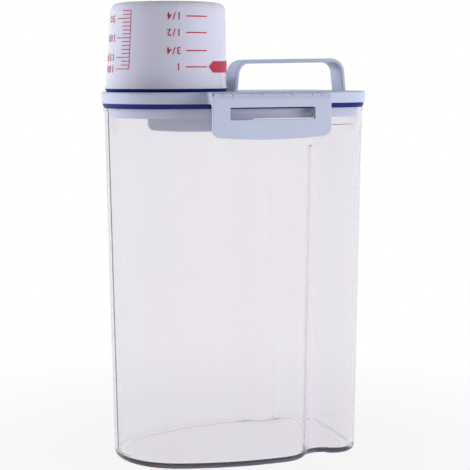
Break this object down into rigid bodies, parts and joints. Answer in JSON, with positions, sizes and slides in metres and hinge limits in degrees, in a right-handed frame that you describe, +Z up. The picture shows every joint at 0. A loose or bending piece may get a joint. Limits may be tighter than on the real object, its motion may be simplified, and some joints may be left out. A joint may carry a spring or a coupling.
{
  "type": "dry food keeper with measuring cup cap",
  "caption": "Tall clear keeper jar for dry food with a latched lid, strap handle, gaskets and an inverted measuring cup that closes the pouring spout.",
  "frame": {"origin": "centre of the bounding box's footprint, on the surface that the jar stands on", "axes": "+Z up; +X along the jar from the spout end to the handle end; -Y towards the front latch"},
  "size_m": [0.1665, 0.1264, 0.2934],
  "materials": {
    "clear_jar": "clear, polished",
    "clear_cup": "clear, polished, with a printed scale",
    "pale_blue": "satin moulded",
    "navy_seal": "soft, satin"
  },
  "bodies": {
    "jar": {"jar": "clear_jar"},
    "lid": {"lid": "pale_blue", "handle": "pale_blue", "main_gasket": "navy_seal", "spout_gasket": "navy_seal"},
    "front_latch": {"front_latch": "pale_blue"},
    "rear_latch": {"rear_latch": "pale_blue"},
    "measuring_cup": {"measuring_cup": "clear_cup"}
  },
  "joints": [
    {"name": "lid_lift", "type": "slide", "parent": "jar", "child": "lid", "axis": [0, 0, 1], "range_m": [0, 0.06]},
    {"name": "cup_lift", "type": "slide", "parent": "lid", "child": "measuring_cup", "axis": [0, 0, 1], "range_m": [0, 0.06]},
    {"name": "front_latch_swing", "type": "hinge", "parent": "lid", "child": "front_latch", "pos_m": [0.0049, -0.0607, 0.2356], "axis": [-1, 0, 0], "range_deg": [0, 120]},
    {"name": "rear_latch_swing", "type": "hinge", "parent": "lid", "child": "rear_latch", "pos_m": [0.0049, 0.0607, 0.2356], "axis": [1, 0, 0], "range_deg": [0, 120]}
  ]
}
